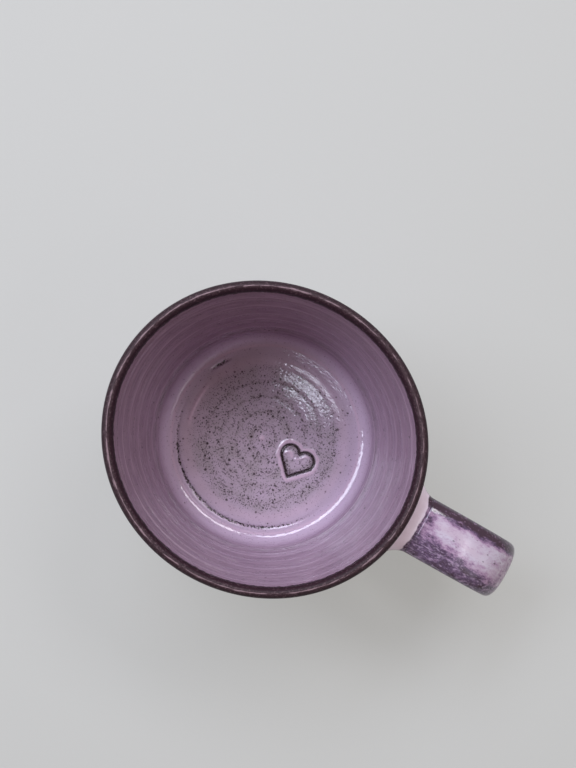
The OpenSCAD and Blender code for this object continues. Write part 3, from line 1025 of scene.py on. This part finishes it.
def bezier(p, t):
    return (1 - t) ** 3 * p[0] + 3 * (1 - t) ** 2 * t * p[1] + 3 * (1 - t) * t * t * p[2] + t ** 3 * p[3]


def bezier_way(p, t):
    way = (1 - t) ** 2 * (p[1] - p[0]) + 2 * (1 - t) * t * (p[2] - p[1]) + t * t * (p[3] - p[2])
    return way / np.linalg.norm(way)


def strap_line(u):
    return bezier(upper_line, u) if u < 1 else bezier(lower_line, u - 1)


def strap_way(u):
    return bezier_way(upper_line, u) if u < 1 else bezier_way(lower_line, u - 1)


print(f"strap line from {upper_z:.1f} to {lower_z:.1f} mm up, {belly[0] + STRAP_T / 2:.1f} mm out")

# %% [markdown]
# ### Section of the strap
# The section is a squarish oval that stands square to the line and is a little thicker at the roots. The
# joints cover it for the first stretch off the wall.

# %% Section of the strap
STRAP_SIDES = 72
side_angle = np.linspace(0, 2 * np.pi, STRAP_SIDES, endpoint=False)


def squarish(wave):
    return np.sign(wave) * np.abs(wave) ** (2 / STRAP_SQUARE)


oval_x = squarish(np.cos(side_angle))
oval_z = squarish(np.sin(side_angle))


def strap_half(u):
    """Half the strap's width and half its thickness."""
    return STRAP_W / 2, (STRAP_T + (ROOT_T - STRAP_T) * abs(1 - u) ** 3) / 2


def strap_ring(u, grow):
    """One section of the strap, grown all round."""
    half_w, half_t = strap_half(u)
    way = strap_way(u)
    line = strap_line(u)
    lift = (half_t + grow) * oval_z
    return np.column_stack([line[0] - way[1] * lift, (half_w + grow) * oval_x, line[1] + way[0] * lift])


joint_u = (
    COIL_RUN / (3 * np.linalg.norm(upper_line[1] - upper_line[0])),
    2 - COIL_RUN / (3 * np.linalg.norm(lower_line[3] - lower_line[2])),
)
print(f"section {STRAP_W} x {STRAP_T} mm, {STRAP_SIDES} points round")

# %% [markdown]
# ### The glazed strap
# The glaze on the strap is a sleeve from one joint to the other, with a ring of points for each step along
# the line. The way along the strap is kept on the mesh, because the glaze ran that way. The strap's own
# clay stays the solid, hidden under the sleeve, and gets the stoneware.

# %% The glazed strap
STRAP_RINGS = 130
us = np.linspace(joint_u[0], joint_u[1], STRAP_RINGS)
rows = [strap_ring(u, GLAZE) for u in us] + [strap_ring(u, 0) for u in us[::-1]]
faces = ring_faces(len(rows), STRAP_SIDES, closed=True)
strap_mesh = make_mesh("handle_glaze", np.vstack(rows), faces)
step_long = np.linalg.norm(np.diff([strap_line(u) for u in us], axis=0), axis=1)
along = np.append(0, np.cumsum(step_long)) * MM
along = np.repeat(np.append(along, along[::-1]), STRAP_SIDES)
keep_value(strap_mesh, "along", along)
make_piece("handle_glaze_coat", strap_mesh, handle_glaze, "handle_glaze", "handle_glaze")
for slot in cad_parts["strap_handle"].material_slots:
    slot.material = bare_stoneware

# %% [markdown]
# ## The luted joints
# Slip and a coil of clay are worked into the corner between strap and wall with a thumb, which leaves a
# smooth hollow fillet, wide at the sides and narrow above and below. Each section of it runs along the
# wall, up the hollow curve, and back along the strap.


# %% The luted joints
def on_wall(y, z, lift):
    """Points of the pulled pot's outer wall at that height and distance across, lifted off the clay."""
    reach = outer_r(z) + lift
    x = np.sqrt(reach ** 2 - y ** 2)
    for _ in range(4):
        swell = reach * (1 + pull_share(z) * np.cos(2 * np.arctan2(y, x)))
        x = np.sqrt(swell ** 2 - y ** 2)
    return np.column_stack([x, y, z])


def root_ring(u, sideways, upward, lift):
    """The strap's root laid on the wall, grown sideways and up and down."""
    half_w, half_t = strap_half(u)
    up = 1 - u
    return on_wall((half_w + sideways) * oval_x, strap_line(u)[1] + up * (half_t + upward) * oval_z, lift)


HOLLOW_SHARE = 0.55
FILLET_STEPS = 25
ON_GLAZE = 0.03
SUNK = 0.5


def hollow(low, corner, high, t):
    """A point on the hollow curve from the wall past its corner to the strap."""
    shares = (1 - t) ** 2, 2 * HOLLOW_SHARE * t * (1 - t), t * t
    return (shares[0] * low + shares[1] * corner + shares[2] * high) / sum(shares)


def joint_fillet(root_u, last_u):
    low = root_ring(root_u, COIL_W, COIL_H, GLAZE + ON_GLAZE)
    corner = root_ring(root_u, GLAZE, GLAZE, GLAZE)
    high = strap_ring(last_u, GLAZE + ON_GLAZE)
    shares = np.linspace(0, 1, FILLET_STEPS)
    rows = [hollow(low, corner, high, t) for t in shares] + [
        strap_ring(last_u, -SUNK), root_ring(root_u, -SUNK, -SUNK, -SUNK),
        root_ring(root_u, COIL_W - SUNK, COIL_H - SUNK, -SUNK),
    ]
    faces = ring_faces(len(rows), STRAP_SIDES, closed=True)
    if root_u:
        faces = [f[::-1] for f in faces]
    from_wall = np.repeat(np.append(shares, [0, 0, 0]), STRAP_SIDES)
    return np.vstack(rows), faces, from_wall


for name, node, root_u, last_u in (
    ("upper_joint_fillet", "upper_joint_coil", 0, joint_u[0]),
    ("lower_joint_fillet", "lower_joint_coil", 2, joint_u[1]),
):
    points, faces, from_wall = joint_fillet(root_u, last_u)
    joint_mesh = make_mesh(name, points, faces)
    keep_value(joint_mesh, "from_wall", from_wall)
    make_piece(name, joint_mesh, joint_glaze, "joint_glaze", node)

# %% [markdown]
# ## Floor
# The mug stands on a plain pale floor, painted and matt. To the camera it fades with distance into the
# colour of the backdrop, so that no horizon shows from the side.

# %% Floor
FLOOR_SIZE = 6.0
FLOOR_PALE = "c1c4c1"
BACKDROP = "c9cac7"
PALE_SHARE = 0.55
FADE_FROM, FADE_TO = 0.3, 1.2
half = FLOOR_SIZE / 2
corners = [(-half, -half, 0), (half, -half, 0), (half, half, 0), (-half, half, 0)]
floor_mesh = bpy.data.meshes.new("floor")
floor_mesh.from_pydata(corners, [], [(0, 1, 2, 3)])
ground = new_object("floor", floor_mesh)
painted, tree = new_material("pale_floor")
place = add(tree, "ShaderNodeTexCoord").outputs["Object"]
grain = add(tree, "ShaderNodeTexNoise", {"Vector": place, "Scale": per_mm(2), "Detail": 3.0})
bump = add(tree, "ShaderNodeBump", {"Height": grain, "Strength": 0.1, "Distance": 0.3 * MM})
lit = add(tree, "ShaderNodeBsdfPrincipled", {
    "Base Color": linear(FLOOR_PALE), "Roughness": 0.7, "Normal": bump, "IOR": GLASS_IOR,
})
pale = add(tree, "ShaderNodeEmission", {"Color": linear(BACKDROP)})
away = add(tree, "ShaderNodeVectorMath", {0: place}, operation="LENGTH").outputs["Value"]
fade = add(tree, "ShaderNodeMapRange", {
    "Value": away, "From Min": FADE_FROM, "From Max": FADE_TO, "To Min": PALE_SHARE, "To Max": 1.0,
})
to_camera = add(tree, "ShaderNodeLightPath").outputs["Is Camera Ray"]
seen_share = add(tree, "ShaderNodeMath", {0: fade, 1: to_camera}, operation="MULTIPLY")
mixed = add(tree, "ShaderNodeMixShader", {0: seen_share, 1: lit.outputs["BSDF"], 2: pale})
add(tree, "ShaderNodeOutputMaterial", {"Surface": mixed})
floor_mesh.materials.append(painted)
print(f"floor {FLOOR_SIZE:.0f} m wide")

# %% [markdown]
# ## Camera
# The camera looks down into the mug, close to its axis, with a lens of about 54 mm. Its place follows from
# three measures in the picture: where the throwing axis points, where the middle of the mouth lies and how
# far the handle is turned.

# %% Camera
IMAGE = np.array([576, 768])
FOCAL_PX = 1154
AXIS_PX = np.array([266.0, 442.0])
MOUTH_PX = np.array([265.3, 438.5])
MOUTH_AWAY = 0.42
HANDLE_DOWN = math.radians(29.4)
SENSOR = 36


def ray(pixel):
    """Direction through a pixel, in the camera's own axes."""
    across, down = (pixel - IMAGE / 2) / FOCAL_PX
    return Vector((across, -down, -1))


into = ray(AXIS_PX).normalized()
along_handle = Vector((math.cos(HANDLE_DOWN), -math.sin(HANDLE_DOWN), 0))
along_handle = (along_handle - along_handle.dot(into) * into).normalized()
seen = Matrix((along_handle, (-into).cross(along_handle), -into))
mouth = Vector((0, 0, (POT_H + GLAZE) * MM))
eye = mouth - seen @ (ray(MOUTH_PX) * MOUTH_AWAY)
lens = bpy.data.cameras.new("camera")
lens.sensor_width = SENSOR
lens.lens = SENSOR * FOCAL_PX / max(IMAGE)
camera = new_object("camera", lens)
camera.matrix_world = Matrix.Translation(eye) @ seen.to_4x4()
bpy.context.scene.camera = camera
print(f"lens {lens.lens:.1f} mm, camera {eye.z * 1000:.0f} mm above the table")

# %% [markdown]
# ## Light
# A long soft window, as cool as daylight, makes the bright line round the bottom corner, because a glossy
# hollow mirrors the light's own shape, and a narrower one above it makes that line thicker. A side window
# lights the handle, two weak lamps reach the far side, and a small window near the camera gives the floor
# its glints. A faint warm sky fills the shade, while the camera itself sees a plain pale backdrop.

# %% Light
DAYLIGHT = "e8edff"
LAMPLIGHT = "f6f3f9"
WARM_SHADE = "ffdfd4"
SKY_STRENGTH = 0.24
right = seen @ Vector((1, 0, 0))
up = seen @ Vector((0, 1, 0))
nearer = seen @ Vector((0, 0, 1))


def soft_light(name, turn, rise, away, size, watts, colour):
    """A soft light that faces the mouth. turn is its angle in the picture, from the right and upwards,
    rise its angle from the picture towards the camera, both in degrees, and away is in metres."""
    turn, rise = math.radians(turn), math.radians(rise)
    way = math.cos(rise) * (math.cos(turn) * right + math.sin(turn) * up) + math.sin(rise) * nearer
    data = bpy.data.lights.new(name, "AREA")
    data.shape = "RECTANGLE"
    data.size, data.size_y = size
    data.energy = watts
    data.color = linear(colour)[:3]
    lamp = new_object(name, data)
    lamp.location = mouth + away * way
    lamp.rotation_mode = "QUATERNION"
    lamp.rotation_quaternion = (-way).to_track_quat("-Z", "Y")


soft_light("long_window", 129, 51, 1.15, (1.4, 0.34), 13.6, DAYLIGHT)
soft_light("upper_window", 138, 63, 1.15, (0.5, 0.14), 2.1, DAYLIGHT)
soft_light("side_window", 54, 50, 1.1, (0.5, 0.28), 3.9, LAMPLIGHT)
soft_light("far_lamp", -23, 53, 1.1, (0.35, 0.08), 0.3, LAMPLIGHT)
soft_light("low_lamp", -40, 40, 1.5, (0.8, 0.8), 1.1, LAMPLIGHT)
soft_light("small_window", 54, 80.1, 1.2, (0.11, 0.028), 0.12, DAYLIGHT)
world = bpy.data.worlds.new("sky")
tree = empty_tree(world)
sky = add(tree, "ShaderNodeBackground", {"Color": linear(WARM_SHADE), "Strength": SKY_STRENGTH})
backdrop = add(tree, "ShaderNodeBackground", {"Color": linear(BACKDROP)})
to_camera = add(tree, "ShaderNodeLightPath").outputs["Is Camera Ray"]
either = add(tree, "ShaderNodeMixShader", {0: to_camera, 1: sky, 2: backdrop})
add(tree, "ShaderNodeOutputWorld", {"Surface": either})
bpy.context.scene.world = world
bpy.context.scene.view_settings.view_transform = "Standard"
print("lamps:", len(bpy.data.lights))
